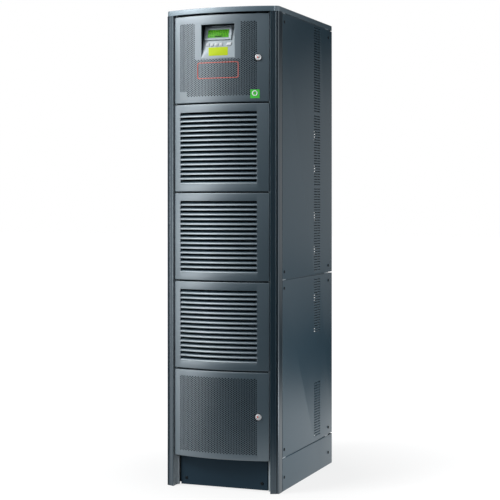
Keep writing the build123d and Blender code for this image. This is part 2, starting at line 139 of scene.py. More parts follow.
cool_tint = (0.82, 0.93, 1.0)
slate = (0.018, 0.042, 0.060)
slate_shine = {"ior": 2.3, "tint": (0.86, 0.93, 0.98)}
paint("cabinet_paint", (0.024, 0.055, 0.080), roughness=0.36, ior=1.6, tint=(0.74, 0.92, 1.0))
paint("door_paint", slate, roughness=0.44, **slate_shine)
paint("post_trim", (0.007, 0.020, 0.031), roughness=0.30, ior=1.8, tint=cool_tint)
paint("plinth_paint", (0.009, 0.026, 0.042), roughness=0.6, specular=0.2)
paint("louvre_plastic", slate, roughness=0.44, **slate_shine)
# Dark inner parts, made near black as painted shade for the unlit inside behind the louvres and holes.
paint("inner_paint", (0.003, 0.005, 0.008), roughness=0.7, specular=0.1)
# Light grey uprights: painted light, brightened so that the shaded slots beside the doors don't go black.
paint("frame_steel", (0.34, 0.39, 0.42), roughness=0.45)
paint("hinge_steel", (0.05, 0.065, 0.075), roughness=0.4)
paint("lock_metal", (0.60, 0.61, 0.63), roughness=0.34, metallic=0.6, grain_share=0.03)
# Dark plastic housing, made near black as painted shade for the deep recess behind the display window.
paint("housing_plastic", (0.003, 0.005, 0.007), roughness=0.6, specular=0.1)
paint("display_plastic", (0.25, 0.30, 0.33))
paint("screen_glass", (0.085, 0.35, 0.012), roughness=0.3, specular=0.1, grain_share=0.0)
paint("key_plastic", (0.38, 0.41, 0.43), roughness=0.45)
paint("cap_paint", (0.026, 0.058, 0.082), roughness=0.44, ior=2.3, tint=cool_tint)
# Near-black paint for the walls of the door holes and the gaps behind the posts: painted shade in these
# hollows.
paint("painted_hollow_shade", (0.004, 0.009, 0.014), roughness=0.6, specular=0.2)
paint("lock_red", (0.62, 0.06, 0.04), roughness=0.4)
paint("red_paint", (0.42, 0.075, 0.055), roughness=0.45)
paint("label_green", (0.36, 0.46, 0.008), roughness=0.5, specular=0.1)
paint("sticker_green", (0.05, 0.48, 0.04), roughness=0.4)
paint("white_print", (0.62, 0.65, 0.66), roughness=0.45)
paint("badge_grey", (0.03, 0.05, 0.062), roughness=0.4, **slate_shine)
# Black for screw heads, and painted shade for the dark disc and keyway of the locks.
paint("screw_black", (0.004, 0.007, 0.010), roughness=0.6, specular=0.15)
paint("screen_ink", (0.02, 0.15, 0.012), roughness=0.4, specular=0.1, grain_share=0.0)
paint("screen_dark", (0.006, 0.035, 0.006), roughness=0.4, specular=0.1, grain_share=0.0)
paint("guard_steel", (0.35, 0.36, 0.37), roughness=0.3, metallic=0.9)

for cad_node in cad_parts.values():
    slot = cad_node.material_slots[0]
    slot.material = materials[slot.material.name.split(".")[0]]


# Mesh tools
def add_object(name, data):
    made = bpy.data.objects.new(name, data)
    bpy.context.scene.collection.objects.link(made)
    return made


def publish(name, mesh_data, body, slot, stands_for=(), look=None, smooth_angle=35.0):
    """Turns a bmesh into a piece that rides on a body; look is a paint other than that of its slot."""
    for face in mesh_data.faces:
        face.smooth = True
    for edge in mesh_data.edges:
        edge.smooth = edge.is_manifold and edge.calc_face_angle(0.0) < math.radians(smooth_angle)
    mesh = bpy.data.meshes.new(name)
    mesh_data.to_mesh(mesh)
    mesh_data.free()
    mesh.materials.append(materials[look or slot])
    piece = add_object(name, mesh)
    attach(piece, body)
    if stands_for:
        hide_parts(*stands_for)
    return piece


def solidify(piece, thickness, edge_look=None):
    modifier = piece.modifiers.new("sheet", "SOLIDIFY")
    if edge_look:
        piece.data.materials.append(materials[edge_look])
        modifier.material_offset_rim = 1
    modifier.thickness = thickness
    modifier.offset = -1
    modifier.use_even_offset = True
    modifier.use_quality_normals = True


def mirror_x(mesh_data):
    """The same shape on the other side of the cabinet."""
    bmesh.ops.scale(mesh_data, vec=(-1, 1, 1), verts=mesh_data.verts)
    bmesh.ops.reverse_faces(mesh_data, faces=mesh_data.faces)


def face_outward(mesh_data):
    bmesh.ops.recalc_face_normals(mesh_data, faces=mesh_data.faces)


def key(u, v):
    """A corner rounded to a tenth of a micrometre, so that neighbours share it."""
    return (round(u, 7), round(v, 7))


def stitch(polygons):
    """Adds to each straight edge along u or v the corners of its neighbours that lie on it."""
    lines = ({}, {})
    for point in (point for polygon in polygons for point in polygon):
        for axis in (0, 1):
            lines[axis].setdefault(point[axis], set()).add(point[1 - axis])
    lines = [{level: sorted(values) for level, values in found.items()} for found in lines]
    result = []
    for polygon in polygons:
        outline = []
        for here, after in zip(polygon, polygon[1:] + polygon[:1]):
            outline.append(here)
            for axis in (0, 1):
                start, end = here[1 - axis], after[1 - axis]
                if here[axis] != after[axis] or start == end:
                    continue
                line = lines[axis][here[axis]]
                low = bisect.bisect_right(line, min(start, end))
                high = bisect.bisect_left(line, max(start, end))
                between = [(value, here[1]) if axis else (here[0], value) for value in line[low:high]]
                outline.extend(between if end > start else reversed(between))
        result.append(outline)
    return result


def rectangle(u_low, v_low, u_high, v_high):
    return [key(u_low, v_low), key(u_high, v_low), key(u_high, v_high), key(u_low, v_high)]


def spaced(low, high, step):
    """Evenly spaced lines from low to high, about one step apart."""
    count = max(1, round((high - low) / step))
    return [low + (high - low) * index / count for index in range(count + 1)]


def plain_zone(lines, v_low, v_high):
    return [rectangle(low, v_low, high, v_high) for low, high in zip(lines, lines[1:])]


def round_hole(u, v, half_u, half_v, radius):
    """One cell of a perforated sheet: six flat pieces round a twelve-sided hole."""
    outer = [(-1, -1), (1, -1), (1, 0), (1, 1), (-1, 1), (-1, 0)]
    outer = [key(u + half_u * side, v + half_v * level) for side, level in outer]
    inner = [key(*point) for point in arc(u, v, radius, 240, 570, 11)]
    pieces = []
    for index in range(6):
        start = 2 * index
        following = outer[(index + 1) % 6]
        pieces.append([outer[index], following, inner[(start + 2) % 12], inner[start + 1], inner[start]])
    return pieces


def slot_hole(u, v, half_u, half_v, length, height):
    """One cell of a slotted sheet: four flat pieces round a slot with round ends."""
    radius = height / 2
    reach = length / 2 - radius
    corners = rectangle(u - half_u, v - half_v, u + half_u, v + half_v)
    right = [key(*point) for point in arc(u + reach, v, radius, -90, 90, 4)]
    left = [key(*point) for point in arc(u - reach, v, radius, 90, 270, 4)]
    return [
        [corners[0], corners[1], right[0], left[4]],
        [corners[1], corners[2]] + right[::-1],
        [corners[2], corners[3], left[0], right[4]],
        [corners[3], corners[0]] + left[::-1],
    ]


class Skin:
    """A thin sheet laid out flat in u and v, then put in its place by a function of u, v and depth."""

    def __init__(self, polygons, place):
        self.place = place
        self.mesh = bmesh.new()
        self.corners = {}
        for outline in stitch(polygons):
            self.mesh.faces.new([self.corner(point) for point in outline])

    def corner(self, point):
        if point not in self.corners:
            self.corners[point] = self.mesh.verts.new(self.place(*point, 0.0))
        return self.corners[point]

    def lip(self, start, end, rise, depth):
        """A lip bent up and inward from the lower edge of a slot."""
        near = [self.corners[key(*start)], self.corners[key(*end)]]
        far = [self.mesh.verts.new(self.place(u, v + rise, depth)) for u, v in (end, start)]
        self.mesh.faces.new(near + far)

    def outline(self, u_low, v_low, u_high, v_high):
        """The sheet's corners round this rectangle, counter-clockwise from the lower left."""
        inside = [(u, v) for u, v in sorted(self.corners) if u_low <= u <= u_high and v_low <= v <= v_high]
        bottom = [point for point in inside if point[1] == v_low]
        right = [point for point in inside if point[0] == u_high]
        top = [point for point in inside if point[1] == v_high]
        left = [point for point in inside if point[0] == u_low]
        return bottom + right[1:] + top[-2::-1] + left[-2:0:-1]

    def fold(self, box, steps, last=None, opening=False):
        """Folds the edge round a rectangle back, through steps of shift outward and depth."""
        u_low, v_low, u_high, v_high = key(*box[:2]) + key(*box[2:])
        flat = self.outline(u_low, v_low, u_high, v_high)
        if opening:
            flat.reverse()
        ring = [self.corners[point] for point in flat]
        stages = [(*step, self.place) for step in steps]
        if last:
            stages.append((*steps[-1], last))
        for shift, depth, place in stages:
            following = []
            for u, v in flat:
                moved_u = u + shift * ((u == u_high) - (u == u_low))
                moved_v = v + shift * ((v == v_high) - (v == v_low))
                following.append(self.mesh.verts.new(place(moved_u, moved_v, depth)))
            join(self.mesh, [following, ring])
            ring = following


def rounding(radius, sign=1, count=4):
    """Steps that turn an edge through a right angle on this radius."""
    angles = [math.pi / 2 * (index + 1) / count for index in range(count)]
    return [(sign * radius * math.sin(angle), radius * (1 - math.cos(angle))) for angle in angles]


def arc(centre_x, centre_y, radius, start, end, count):
    """Points along an arc, with its angles in degrees."""
    angles = [math.radians(start + (end - start) * index / count) for index in range(count + 1)]
    return [(centre_x + radius * math.cos(angle), centre_y + radius * math.sin(angle)) for angle in angles]


def circle(centre_x, centre_y, radius, count):
    return arc(centre_x, centre_y, radius, 0, 360 - 360 / count, count - 1)


def curve(first, middle, last, count):
    """Points on a curve that leaves first towards middle and reaches last from there, without its start."""
    points = []
    for index in range(1, count + 1):
        share = index / count
        point = Vector(first) * (1 - share) ** 2 + Vector(middle) * (2 * share * (1 - share))
        points.append(tuple(point + Vector(last) * share**2))
    return points


def inset(outline, distance):
    """A closed outline, counter-clockwise, moved inward by a distance."""
    moved = []
    for index, point in enumerate(outline):
        here = Vector(point)
        first = (here - Vector(outline[index - 1])).normalized()
        second = (Vector(outline[(index + 1) % len(outline)]) - here).normalized()
        normal = Vector((-first.y - second.y, first.x + second.x)).normalized()
        share = max(normal.dot(Vector((-first.y, first.x))), 0.2)
        moved.append(tuple(here + normal * distance / share))
    return moved


def join(mesh, rows):
    """Faces between neighbouring rows of the same number of points, each row closed on itself."""
    for near, far in zip(rows, rows[1:]):
        for index in range(len(near)):
            after = (index + 1) % len(near)
            mesh.faces.new([near[index], near[after], far[after], far[index]])


def stack(mesh, rings, place, closed=True):
    """Skins a pile of rings with the same number of points, and closes its ends."""
    rows = [[mesh.verts.new(place(x, y, height)) for x, y in outline] for outline, height in rings]
    join(mesh, rows)
    if closed:
        mesh.faces.new(reversed(rows[0]))
        mesh.faces.new(rows[-1])


def upright(x, y, z):
    return Vector((x, y, z))


def lathe(mesh, profile, place, segments):
    """A turned part: profile points of radius and height round the local axis, in millimetres."""
    rings = []
    for radius, height in profile:
        rings.append((circle(0, 0, radius * MM, segments), height * MM))
    stack(mesh, rings, place)


def rounded_rectangle(u, v, width, height, radius, count=4):
    outline = []
    for corner_u, corner_v, start in ((1, -1, -90), (1, 1, 0), (-1, 1, 90), (-1, -1, 180)):
        centre_u = u + corner_u * (width / 2 - radius)
        centre_v = v + corner_v * (height / 2 - radius)
        outline.extend(arc(centre_u, centre_v, radius, start, start + 90, count))
    return outline


def pad(mesh, place, centre, rings, closed=True):
    """A pile of rounded rectangles; each has a width, a height, a corner and a level, in millimetres."""
    pile = []
    for *sizes, level in rings:
        outline = rounded_rectangle(*[value * MM for value in (*centre, *sizes)])
        pile.append((outline, level * MM))
    stack(mesh, pile, place, closed)


def raised(mesh, place, centre, size, corner, stand, edge, foot=0.0):
    """A raised pad with rounded corners and a rounded upper edge; all its sizes are in millimetres."""
    rings = [(*size, corner, foot), (*size, corner, stand - edge)]
    for rise, inward in rounding(edge, count=3):
        width, height = size[0] - 2 * inward, size[1] - 2 * inward
        rings.append((width, height, max(corner - inward, 0.1), stand - edge + rise))
    pad(mesh, place, centre, rings)


def facing(origin, normal):
    """Places local x, y and height on a surface that faces along the normal."""
    normal = Vector(normal).normalized()
    side = Vector((0, 0, 1)).cross(normal).normalized()
    rise = normal.cross(side)

    def place(x, y, height):
        return Vector(origin) + side * x + rise * y + normal * height
    return place


# Bowed front
def arc_length(x):
    return panel_bow_radius * math.asin(x / panel_bow_radius)


def on_bow(u, v, depth):
    """u runs round the bow from the middle, v is the height above the floor, depth goes inward."""
    angle = u / panel_bow_radius
    radius = panel_bow_radius - depth
    return Vector((radius * math.sin(angle), bow_centre_y - radius * math.cos(angle), v))


def to_plane(back_y):
    """Puts the points of a folded edge on the flat back of a cover."""

    def place(u, v, depth):
        point = on_bow(u, v, depth)
        return Vector((point.x, back_y, v))
    return place


edge_radius = 2.2 * MM
line_step = 6 * MM
cover_sheet = 0.9 * MM
hole_pitch_v = 6.6 * MM
hole_radius = 2.3 * MM
hole_columns = 51
field_left = arc_length(-152 * MM)
field_right = arc_length(134.5 * MM)
hole_pitch_u = (field_right - field_left) / hole_columns
field_lines = [field_left + index * hole_pitch_u for index in range(hole_columns + 1)]
skin_half = panel_half + 0.8 * MM
skin_left = arc_length(-skin_half) + edge_radius
skin_right = arc_length(skin_half) - edge_radius
left_lines = spaced(skin_left, field_left, line_step)
right_lines = spaced(field_right, skin_right, line_step)


def hole_field(columns, bottom, rows, keep):
    """Staggered round holes: odd columns stand half a pitch higher than even ones."""
    polygons = []
    half = hole_pitch_v / 2
    for column in columns:
        low, high = field_lines[column], field_lines[column + 1]
        middle = (low + high) / 2
        base = bottom + half * (column % 2)
        if column % 2:
            polygons.append(rectangle(low, bottom, high, bottom + half))
        else:
            top = bottom + rows * hole_pitch_v
            polygons.append(rectangle(low, top, high, top + half))
        for row in range(rows):
            level = base + (row + 0.5) * hole_pitch_v
            if keep(middle, level):
                polygons.extend(round_hole(middle, level, hole_pitch_u / 2, half, hole_radius))
            else:
                polygons.append(rectangle(low, level - half, high, level + half))
    return polygons


def outside(areas):
    """A test that is true away from these areas of left, bottom, right and top."""

    def keep(u, v):
        return not any(left < u < right and bottom < v < top for left, bottom, right, top in areas)
    return keep


def front_skin(polygons, bottom, back_y):
    """A bowed cover's face with its rounded edge folded back to a plane."""
    skin = Skin(polygons, on_bow)
    box = (skin_left, bottom + edge_radius, skin_right, bottom + panel_height - edge_radius)
    skin.fold(box, rounding(edge_radius), to_plane(back_y))
    return skin


# Control door: perforated round the display window
control_bottom = door_low.z
window_edge = 1.2 * MM
window_depth = 2.9 * MM
window_bottom = 1478 * MM
window_top = 1593 * MM
window_left = arc_length(-65 * MM) - window_edge
window_right = arc_length(57 * MM) + window_edge
window_box = (window_left, window_bottom - window_edge, window_right, window_top + window_edge)
control_field_bottom = control_bottom + 20.4 * MM
control_rows = 38
control_low_rows = 19
left_columns = 11
right_columns = 10
control_low_top = control_field_bottom + (control_low_rows + 0.5) * hole_pitch_v
badge = (arc_length(-152 * MM), 1339 * MM, arc_length(-123 * MM), 1366 * MM)
sticker = (arc_length(112 * MM), 1338 * MM, arc_length(143 * MM), 1367.5 * MM)
lock_x = 139 * MM
lock_rise = panel_height - 150 * MM
lock_guard = 13 * MM


def lock_area(bottom):
    u = arc_length(lock_x)
    v = bottom + lock_rise
    return (u - lock_guard, v - lock_guard, u + lock_guard, v + lock_guard)


def door_margins(bottom, field_bottom, rows):
    """The plain parts of a door round its field of holes, and the height where that field ends."""
    low = bottom + edge_radius
    high = bottom + panel_height - edge_radius
    field_top = field_bottom + (rows + 0.5) * hole_pitch_v
    polygons = plain_zone(left_lines, low, high) + plain_zone(right_lines, low, high)
    polygons += plain_zone(field_lines, low, field_bottom) + plain_zone(field_lines, field_top, high)
    return polygons, field_top


def control_polygons():
    polygons, field_top = door_margins(control_bottom, control_field_bottom, control_rows)
    keep = outside([badge, sticker, lock_area(control_bottom)])
    first = left_columns
    last = hole_columns - right_columns
    beside = [*range(first), *range(last, hole_columns)]
    polygons += hole_field(beside, control_field_bottom, control_rows, keep)
    polygons += hole_field(range(first, last), control_field_bottom, control_low_rows, keep)
    left, low, right, high = window_box
    for start, end in ((field_lines[first], left), (right, field_lines[last])):
        polygons += plain_zone(spaced(start, end, line_step), control_low_top, field_top)
    over = spaced(left, right, line_step)
    polygons += plain_zone(over, control_low_top, low) + plain_zone(over, high, field_top)
    return polygons


def door_skin(name, polygons, bottom, window=None):
    skin = front_skin(polygons, bottom, door_back_y)
    if window:
        skin.fold(window, rounding(window_edge, sign=-1) + [(-window_edge, window_depth)], opening=True)
    face = publish(f"{name}_skin", skin.mesh, name, "door_paint", [name])
    # The walls of the holes take the near-black rim paint: painted shade inside the holes.
    solidify(face, cover_sheet, "painted_hollow_shade")


door_skin("control_door", control_polygons(), control_bottom, window_box)

# Lower door: one perforated field
lower_field_bottom = lower_bottom + 19 * MM
lower_rows = 39
lower_polygons = door_margins(lower_bottom, lower_field_bottom, lower_rows)[0]
lower_keep = outside([lock_area(lower_bottom)])
lower_polygons += hole_field(range(hole_columns), lower_field_bottom, lower_rows, lower_keep)
door_skin("lower_door", lower_polygons, lower_bottom)

# Louvred covers
louvre_left = arc_length(-151 * MM)
louvre_right = arc_length(134 * MM)
louvre_rise = 24.5 * MM
louvre_pitch = 16.5 * MM
louvre_count = 15
louvre_edge = 0.8 * MM
collar_depth = 13 * MM
panel_back_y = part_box("louvre_cover_top")[1].y
# Face of a blade, then its back: depth behind the cover's face and height above its foot, in millimetres
blade_section = [(0.25, 0.0), (0.0, 0.35), (0.0, 1.6), (0.35, 3.2), (1.3, 4.9), (2.9, 6.6), (5.2, 8.3)]
blade_section += [(8.0, 9.8), (11.0, 11.0), (11.0, 9.4), (8.4, 8.2), (6.0, 6.7), (4.1, 5.0), (2.9, 3.3)]
blade_section += [(2.3, 1.6), (2.0, 0.3), (1.7, 0.0)]
blade_steps = 40
tiers = ("top", "middle", "bottom")


def louvre_cover(name, bottom):
    low = bottom + edge_radius
    high = bottom + panel_height - edge_radius
    field_low = bottom + louvre_rise - louvre_edge
    field_high = bottom + louvre_rise + louvre_count * louvre_pitch + louvre_edge
    over = spaced(louvre_left - louvre_edge, louvre_right + louvre_edge, line_step)
    polygons = plain_zone(over, low, field_low) + plain_zone(over, field_high, high)
    for start, end in ((skin_left, over[0]), (over[-1], skin_right)):
        polygons += plain_zone(spaced(start, end, line_step), low, high)
    skin = front_skin(polygons, bottom, panel_back_y)
    field = (over[0], field_low, over[-1], field_high)
    skin.fold(field, rounding(louvre_edge, sign=-1) + [(-louvre_edge, collar_depth)], opening=True)
    cover = publish(f"{name}_shell", skin.mesh, "cabinet", "louvre_plastic", [name])
    solidify(cover, cover_sheet)


def louvre_blades(name, bottom):
    mesh = bmesh.new()
    for index in range(louvre_count):
        foot = bottom + louvre_rise + index * louvre_pitch
        section = [(depth * MM, foot + rise * MM) for depth, rise in blade_section]
        rows = []
        for u in spaced(louvre_left, louvre_right, (louvre_right - louvre_left) / blade_steps):
            rows.append([mesh.verts.new(on_bow(u, v, depth)) for depth, v in section])
        join(mesh, rows)
        mesh.faces.new(rows[0])
        mesh.faces.new(reversed(rows[-1]))
    face_outward(mesh)
    publish(f"{name}_moulded", mesh, "cabinet", "louvre_plastic", [name], smooth_angle=50)


for tier in tiers:
    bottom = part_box(f"louvre_cover_{tier}")[0].z
    louvre_cover(f"louvre_cover_{tier}", bottom)
    louvre_blades(f"louvre_blades_{tier}", bottom)


# Posts and roof cap
def post_y(x, inward=0.0):
    return bow_y(post_bow_radius, x) + inward


def flute(start, end, rise, skew, count):
    """A shallow flute across the post's face, deepest beyond its middle."""
    points = []
    for index in range(count + 1):
        share = index / count
        x = start + (end - start) * share
        points.append((x, post_y(x, rise * math.sin(math.pi * share**skew))))
    return points


post_half_gap = post_low.x
post_back_y = post_high.y - 1.5 * MM
post_edge = 1.2 * MM
post_edge_end = 262
flute_start = post_half_gap + 5 * MM
flute_depth = 1.6 * MM
flute_skew = 1.5
flute_steps = 16
groove_start = post_half_gap + 19.5 * MM
corner_start = groove_start + 5.5 * MM
groove_depth = 3.5 * MM
groove_flank = 0.4 * MM
corner_radius = 6 * MM
corner_ease = 0.5 * MM
corner_drop = 0.8 * MM


def post_outline():
    """Plan of the right-hand post, clockwise from its front corner."""
    end = (half_width, side_front_y + corner_radius / 2)
    edge_x = post_half_gap + post_edge
    outline = [end, (half_width, post_back_y), (post_half_gap, post_back_y)]
    outline += arc(edge_x, post_y(edge_x) + post_edge, post_edge, 180, post_edge_end, 6)
    outline += flute(flute_start, groove_start, flute_depth, flute_skew, flute_steps)
    outline.append((groove_start + groove_flank, post_y(groove_start, groove_depth)))
    outline.append((corner_start - groove_flank, post_y(corner_start, groove_depth)))
    corner = (corner_start, post_y(corner_start))
    middle = (half_width - corner_ease, corner[1] + corner_drop)
    return outline + [corner] + curve(corner, middle, end, 9)[:-1]


for side in ("right", "left"):
    plan = post_outline()[::-1]
    mesh = bmesh.new()
    stack(mesh, [(plan, 0.0), (plan, cap_bottom)], upright)
    face_outward(mesh)
    # Faces along the door gap take the light frame_steel paint: painted light that keeps the gap from going
    # black.
    for face in mesh.faces:
        face.material_index = 1 if face.normal.x < -0.99 else 0
    if side == "left":
        mirror_x(mesh)
    name = f"front_post_{side}"
    post = publish(f"{name}_trim", mesh, "cabinet", "post_trim", [name])
    post.data.materials.append(materials["frame_steel"])


cap_bead_width = 4 * MM
cap_bead_rise = 0.9 * MM
cap_bead_steps = 6
cap_corner_radius = 3 * MM
cap_corner_ease = 2 * MM
cap_corner_reach = 4.5 * MM
cap_corner_back = 3 * MM
cap_steps = 48
cap_wall = 2 * MM
cap_edge = 1.8 * MM
cap_foot_edge = 0.5 * MM


def cap_corner():
    """The front corner on the right: a bead, then a curve round to the side."""
    start = cap_bow_half - cap_bead_width / 2
    points = []
    for index in range(1, cap_bead_steps + 1):
        share = index / cap_bead_steps
        x = start + cap_bead_width * share
        points.append((x, bow_y(cap_bow_radius, x) - cap_bead_rise * math.sin(math.pi * share)))
    middle = (half_width - cap_corner_ease, side_front_y - cap_corner_reach)
    return points + curve(points[-1], middle, (half_width, side_front_y + cap_corner_back), 8)


def cap_outline():
    """Plan of the roof cap, counter-clockwise seen from above."""
    reach = cap_bow_half - cap_bead_width / 2
    corner = cap_corner()
    points = [(x, bow_y(cap_bow_radius, x)) for x in spaced(-reach, reach, 2 * reach / cap_steps)]
    points += corner
    radius = cap_corner_radius
    points += arc(half_width - radius, rear_y - radius, radius, 0, 90, 4)
    points += arc(-half_width + radius, rear_y - radius, radius, 90, 180, 4)
    points += [(-x, y) for x, y in reversed(corner)]
    return points


def roof_cap():
    outline = cap_outline()
    mesh = bmesh.new()
    top = cap_high.z
    rings = [(inset(outline, cap_wall), top - cap_wall), (inset(outline, cap_wall), cap_bottom)]
    rings += [(inset(outline, cap_foot_edge), cap_bottom), (outline, cap_bottom + cap_foot_edge)]
    rings.append((outline, top - cap_edge))
    rings += [(inset(outline, inward), top - cap_edge + rise) for rise, inward in rounding(cap_edge)]
    stack(mesh, rings, upright)
    face_outward(mesh)
    publish("roof_cap_moulded", mesh, "cabinet", "cabinet_paint", ["roof_cap"], "cap_paint")


roof_cap()


# Side panels
def on_side(u, v, depth):
    """u runs back along the right-hand side, v is the height, depth goes inward."""
    return Vector((half_width - depth, u, v))


side_edge = 1.5 * MM
side_seam = 2.0 * MM
plinth_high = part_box("plinth_side_right")[1]
panel_low, panel_middle_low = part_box("side_panel_lower_right")
panel_middle_high, panel_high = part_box("side_panel_upper_right")
side_low_y = panel_low.y
rear_cover_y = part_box("rear_fan_panel_top")[0].y
seam_front = post_back_y + 0.2 * MM
cap_seam_setback = 14 * MM
# Lower edge, upper edge and rear end of each seam
seams = [
    (plinth_high.z, panel_low.z, rear_cover_y),
    (panel_middle_low.z, panel_middle_high.z, rear_cover_y),
    (panel_high.z, cap_bottom, panel_high.y - cap_seam_setback),
]
side_hem = 11 * MM
side_sheet = 1.2 * MM
slot_length = 33 * MM
slot_height = 3.8 * MM
slot_pitch = 9.5 * MM
slot_lip = 1.5 * MM
slot_cell = 37 * MM
slot_left = 98 * MM
# Feet and heads of the groups of slots, in millimetres above the floor
slot_groups = {
    "side_panel_upper": [(733, 1037), (1044, 1303), (1312, 1624)],
    "side_panel_lower": [(130, 330), (510, 707)],
}


def slotted_side(node_name, side):
    low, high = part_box(f"{node_name}_right")
    box = (low.y + side_seam + side_edge, low.z + side_edge, high.y - side_edge, high.z - side_edge)
    edges = [slot_left + column * slot_cell for column in range(3)]
    polygons = plain_zone([box[0], edges[0]], box[1], box[3])
    polygons += plain_zone([edges[2], box[2]], box[1], box[3])
    slots = []
    for left, right in zip(edges, edges[1:]):
        level = box[1]
        centre = (left + right) / 2
        for foot, head in slot_groups.get(node_name, []):
            bottom, top = foot * MM, head * MM
            polygons.append(rectangle(left, level, right, bottom))
            rows = round((top - bottom) / slot_pitch)
            pitch = (top - bottom) / rows
            for row in range(rows):
                middle = bottom + (row + 0.5) * pitch
                polygons += slot_hole(centre, middle, slot_cell / 2, pitch / 2, slot_length, slot_height)
                slots.append((centre, middle))
            level = top
        polygons.append(rectangle(left, level, right, box[3]))
    skin = Skin(polygons, on_side)
    skin.fold(box, rounding(side_edge) + [(side_edge, side_hem)])
    reach = (slot_length - slot_height) / 2
    for centre, middle in slots:
        foot = middle - slot_height / 2
        skin.lip((centre - reach, foot), (centre + reach, foot), slot_lip, slot_lip)
    if side == "left":
        mirror_x(skin.mesh)
    name = f"{node_name}_{side}"
    panel = publish(f"{name}_sheet", skin.mesh, "cabinet", "cabinet_paint", [name])
    solidify(panel, side_sheet)


for node_name in ("side_panel_upper", "side_panel_lower", "plinth_side"):
    for side in ("right", "left"):
        slotted_side(node_name, side)


# Strips in the seams between the side sheets, dark strips of painted shade in the gaps behind the corner
# posts, and screws, in millimetres
strip_sink = 3.5
strip_gap = 0.5
strip_shape = {"corner": 0.4, "stand": 1.0, "edge": 0.3}
gap_shade_sink = 1.2
gap_shade_clearance = 0.4
gap_shade_short = 4
gap_shade_shape = {"corner": 0.5, "stand": 0.6, "edge": 0.3}
screw_levels = (1601, 748, 692, 141.5, 47)
screw_depths = (-222, 267)
screw_size = (5.4, 2.4)
kick_screw_size = (5.5, 3.2)
kick_screw_places = (-140, 140)
kick_screw_level = 27.5


def side_strip(mesh, sign, sink, front, rear, low, high, gaps, shape):
    """A strip let into the side, with these gaps taken off its length and its height."""
    centre = (sign * (half_width - sink * MM), (front + rear) / 2, (low + high) / 2)
    size = ((rear - front) / MM - gaps[0], (high - low) / MM - gaps[1])
    raised(mesh, facing(centre, (sign, 0, 0)), (0, 0), size, **shape)


def pan_head(mesh, place, radius, height):
    """A round screw head with a small round pit in its top."""
    profile = [(1, 0), (1, 0.25), (0.92, 0.55), (0.75, 0.8), (0.5, 0.95), (0.22, 1), (0.18, 0.5)]
    lathe(mesh, [(out * radius, up * height) for out, up in profile], place, 20)


sides = (("right", 1), ("left", -1))
for side, sign in sides:
    mesh = bmesh.new()
    for below, above, rear in seams:
        side_strip(mesh, sign, strip_sink, seam_front, rear, below, above, (0, strip_gap), strip_shape)
    publish(f"side_seam_strips_{side}", mesh, "cabinet", "cabinet_paint")
    # A near-black strip in the gap behind each post: painted shade in that gap.
    mesh = bmesh.new()
    gap_shade_rear = side_low_y + side_seam
    gaps = (gap_shade_clearance, gap_shade_short)
    side_strip(mesh, sign, gap_shade_sink, post_back_y, gap_shade_rear, 0, cap_bottom, gaps, gap_shade_shape)
    publish(f"post_gap_shade_{side}", mesh, "cabinet", "cabinet_paint", look="painted_hollow_shade")

for side, sign in sides:
    mesh = bmesh.new()
    for level in screw_levels:
        for y in screw_depths:
            place = facing((sign * half_width, y * MM, level * MM), (sign, 0, 0))
            pan_head(mesh, place, *screw_size)
    publish(f"side_screws_{side}", mesh, "cabinet", "hinge_steel", look="screw_black")

kick_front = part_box("kick_plate")[0].y
mesh = bmesh.new()
for x in kick_screw_places:
    pan_head(mesh, facing((x * MM, kick_front, kick_screw_level * MM), (0, -1, 0)), *kick_screw_size)
publish("kick_plate_screws", mesh, "cabinet", "hinge_steel", look="screw_black")

# Display: a sloping plate; places on it are in millimetres from the middle of its foot
display_slope = math.atan2(34, 115)
display_origin = (-4 * MM, front_y + panel_inset + 3 * MM, window_bottom)
on_display = facing(display_origin, (0, -math.cos(display_slope), math.sin(display_slope)))
plate_middle = (0, 60.2)
plate_size = (121.4, 118.4)
bezel_u = -7
bezel_v = 88.62
bezel_rings = [(102, 47, 3, 0), (102, 47, 3, 3), (101, 46, 2.6, 3.7), (99.6, 44.6, 2.2, 4)]
bezel_rings += [(85, 36, 1.5, 4), (84, 35, 1.3, 3.6), (78, 29, 0.8, 3.3), (77, 28, 0.5, 1.2)]
mesh = bmesh.new()
raised(mesh, on_display, plate_middle, plate_size, corner=0.5, stand=0.0, edge=0.2, foot=-2)
pad(mesh, on_display, (bezel_u, bezel_v), bezel_rings, closed=False)
publish("display_panel_moulded", mesh, "control_door", "display_plastic", ["display_panel"])

# Screen: a glass plate over rows of character cells and one dark bar
mesh = bmesh.new()
raised(mesh, on_display, (bezel_u, bezel_v), (78, 29), corner=0.8, stand=2.4, edge=0.2, foot=0.6)
publish("display_screen_glass", mesh, "control_door", "screen_glass", ["display_screen"])
cell_columns = 20
cell_rows = 4
cell_pitch_u = 3.5
cell_pitch_v = 6.2
cell_size = (2.4, 3.6)
cell_corner = 0.3
bar_drop = 9.6
bar_size = (27, 4.6)
bar_corner = 0.4
ink_foot = 2.38
ink_level = 2.5
ink_edge = 0.03
mesh = bmesh.new()
for row in range(cell_rows):
    for column in range(cell_columns):
        if (column * 7 + row * 11) % 5 < 2:
            continue
        u = bezel_u + (column - (cell_columns - 1) / 2) * cell_pitch_u
        v = bezel_v + (row - (cell_rows - 1) / 2) * cell_pitch_v
        raised(mesh, on_display, (u, v), cell_size, cell_corner, ink_level, ink_edge, ink_foot)
publish("display_screen_cells", mesh, "control_door", "screen_glass", look="screen_ink")
mesh = bmesh.new()
bar_middle = (bezel_u, bezel_v - bar_drop)
raised(mesh, on_display, bar_middle, bar_size, bar_corner, ink_level + ink_edge, ink_edge, ink_foot)
publish("display_screen_bar", mesh, "control_door", "screen_glass", look="screen_dark")


def leaning(level, share):
    """A slanted place on the display, where points move sideways by a share of their height over a level."""

    def place(x, y, height):
        return on_display(x + share * (y - level * MM), y, height)
    return place


